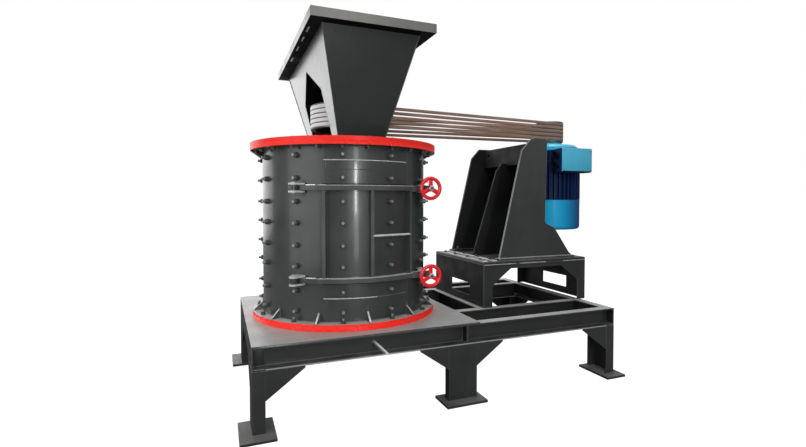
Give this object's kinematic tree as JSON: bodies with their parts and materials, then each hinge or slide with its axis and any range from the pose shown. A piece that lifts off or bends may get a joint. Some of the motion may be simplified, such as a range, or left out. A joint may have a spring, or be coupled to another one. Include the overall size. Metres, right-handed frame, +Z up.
{
  "type": "fine crusher",
  "caption": "Upright drum crusher with a hinged clamp door, feed hopper, belt drive from an upright motor on a bracket, and a beam base on legs.",
  "frame": {"origin": "on the floor under the middle of the whole machine's box", "axes": "+X from the drum towards the motor, +Y from the door side to the back, +Z up"},
  "size_m": [3.0709, 1.865, 2.56],
  "materials": {
    "dark_paint": "glossy dark grey-green machine enamel",
    "deck_grey": "pale grey paint, dusty",
    "red_paint": "bright red enamel",
    "hopper_grey": "glossy dark grey enamel on sheet",
    "bare_steel": "turned steel",
    "cast_steel": "cast steel, unpainted",
    "belt_rubber": "matt brown-grey belt rubber",
    "motor_blue": "blue enamel over ribbed castings",
    "cowl_blue": "light blue enamel"
  },
  "bodies": {
    "machine": {"front_beam": "dark_paint", "back_beam": "dark_paint", "left_beam": "dark_paint", "right_beam": "dark_paint", "deck_edge_beam": "dark_paint", "table_cross_beam": "dark_paint", "front_stand_beam": "dark_paint", "back_stand_beam": "dark_paint", "deck_plate": "deck_grey", "leg_front_left": "dark_paint", "leg_front_middle": "dark_paint", "leg_front_right": "dark_paint", "leg_back_left": "dark_paint", "leg_back_middle": "dark_paint", "leg_back_right": "dark_paint", "bottom_bearing": "cast_steel", "bottom_flange": "red_paint", "shell_under_door": "dark_paint", "shell_over_door": "dark_paint", "shell_left_front": "dark_paint", "shell_left_back": "dark_paint", "shell_right_front": "dark_paint", "shell_right_back": "dark_paint", "top_flange": "red_paint", "cover_plate": "red_paint", "upper_bearing": "dark_paint", "belt_1": "belt_rubber", "belt_2": "belt_rubber", "belt_3": "belt_rubber", "belt_4": "belt_rubber", "belt_5": "belt_rubber", "hopper_rim": "hopper_grey", "hopper_front_wall": "hopper_grey", "hopper_back_wall": "hopper_grey", "hopper_left_wall": "hopper_grey", "hopper_right_wall": "hopper_grey", "belt_tunnel": "hopper_grey", "motor_frame": "motor_blue", "motor_fan_cowl": "cowl_blue", "terminal_box": "cowl_blue", "bracket_front": "dark_paint", "bracket_back": "dark_paint", "bracket_core": "dark_paint", "table_front": "dark_paint", "table_back": "dark_paint", "table_left": "dark_paint", "table_right": "dark_paint", "table_top": "dark_paint"},
    "door": {"door_panel": "dark_paint"},
    "upper_wheel": {"handwheel_upper": "red_paint"},
    "lower_wheel": {"handwheel_lower": "red_paint"},
    "rotor": {"rotor": "cast_steel", "drum_pulley": "bare_steel"},
    "motor_rotor": {"motor_pulley": "bare_steel"}
  },
  "joints": [
    {"name": "door_swing", "type": "hinge", "parent": "machine", "child": "door", "pos_m": [-1.17808, -0.43713, 0.845], "axis": [0, 0, -1], "range_deg": [0, 110]},
    {"name": "upper_wheel_spin", "type": "hinge", "parent": "door", "child": "upper_wheel", "pos_m": [-0.2575, -0.5875, 1.4875], "axis": [0, -1, 0], "continuous": true},
    {"name": "lower_wheel_spin", "type": "hinge", "parent": "door", "child": "lower_wheel", "pos_m": [-0.2575, -0.5875, 0.8725], "axis": [0, -1, 0], "continuous": true},
    {"name": "rotor_spin", "type": "hinge", "parent": "machine", "child": "rotor", "pos_m": [-0.7075, 0.0675, 0.66], "axis": [0, 0, 1], "continuous": true},
    {"name": "motor_spin", "type": "hinge", "parent": "machine", "child": "motor_rotor", "pos_m": [1.2565, 0.0675, 1.936], "axis": [0, 0, 1], "continuous": true}
  ],
  "couplings": [
    {"joint": "motor_spin", "follows": "rotor_spin", "ratio": 2.0876}
  ]
}
